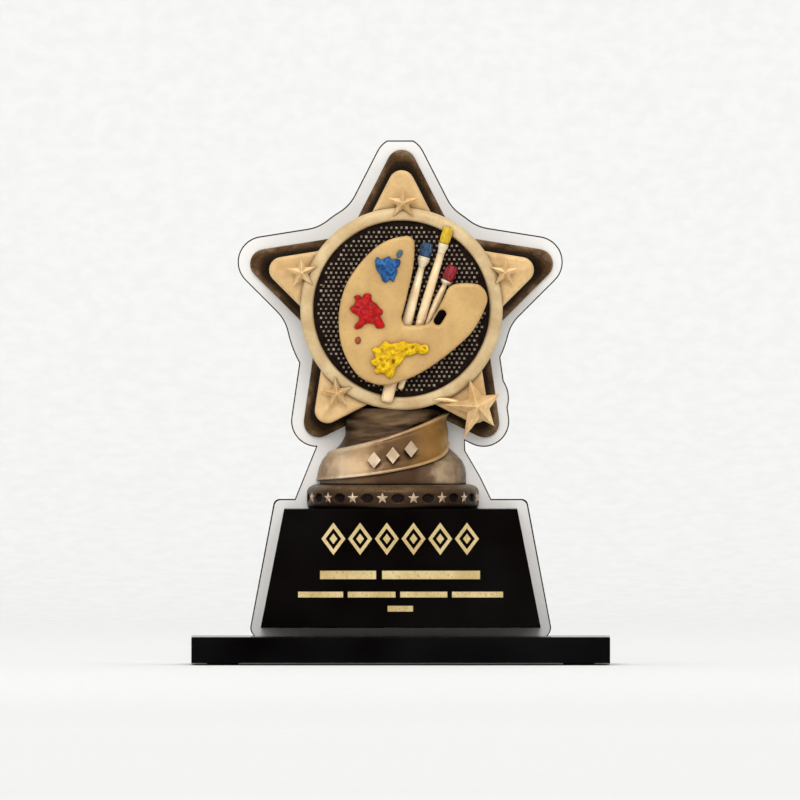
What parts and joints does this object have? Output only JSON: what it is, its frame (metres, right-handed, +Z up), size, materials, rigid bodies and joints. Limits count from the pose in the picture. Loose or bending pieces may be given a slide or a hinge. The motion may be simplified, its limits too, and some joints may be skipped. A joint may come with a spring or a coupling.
{
  "type": "star trophy",
  "caption": "Relief star award: faceted star with ring, paint palette and brushes on a round pedestal, mounted on a contour-cut panel in a slab base.",
  "frame": {"origin": "centre of the base slab's footprint, at the floor under the rubber feet", "axes": "+Z up, -Y out of the decorated front, +X to the viewer's right"},
  "size_m": [0.16, 0.07, 0.2],
  "materials": {
    "white_acrylic": "polished",
    "black_trim": "satin",
    "black_acrylic": "polished",
    "steel": "plated",
    "brass": "machined",
    "rubber": "moulded",
    "gold_inlay": "metallic",
    "gold_resin": "antique gold",
    "bronze_resin": "antique bronze",
    "pale_gold": "satin",
    "blue_paint": "glossy",
    "red_paint": "glossy",
    "yellow_paint": "glossy"
  },
  "bodies": {
    "root": {"backing_panel": "white_acrylic", "edge_band": "black_trim", "base_slab": "black_acrylic", "base_screws": "steel", "foot_pads": "rubber", "panel_screws": "steel", "panel_washers": "steel", "threaded_inserts": "brass", "plinth_block": "black_acrylic", "name_plate": "black_acrylic", "title_ornament": "gold_inlay", "inscription_line_1": "gold_inlay", "inscription_line_2": "gold_inlay", "inscription_line_3": "gold_inlay", "pedestal_body": "bronze_resin", "pedestal_foot_ring": "bronze_resin", "foot_ring_stars": "gold_resin", "ribbon": "gold_resin", "ribbon_ornaments": "bronze_resin", "star_body": "bronze_resin", "star_face": "gold_resin", "ring_bezel": "gold_resin", "mesh_disc": "bronze_resin", "point_star_top": "gold_resin", "point_star_left": "gold_resin", "point_star_right": "gold_resin", "point_star_lower_left": "gold_resin", "corner_star": "gold_resin", "corner_star_tail": "gold_resin", "palette": "gold_resin", "paint_blue": "blue_paint", "paint_red": "red_paint", "paint_yellow": "yellow_paint", "brush_handle_blue": "gold_resin", "brush_ferrule_blue": "pale_gold", "brush_bristles_blue": "blue_paint", "brush_handle_yellow": "gold_resin", "brush_ferrule_yellow": "pale_gold", "brush_bristles_yellow": "yellow_paint", "brush_handle_red": "gold_resin", "brush_ferrule_red": "pale_gold", "brush_bristles_red": "red_paint"}
  },
  "joints": []
}
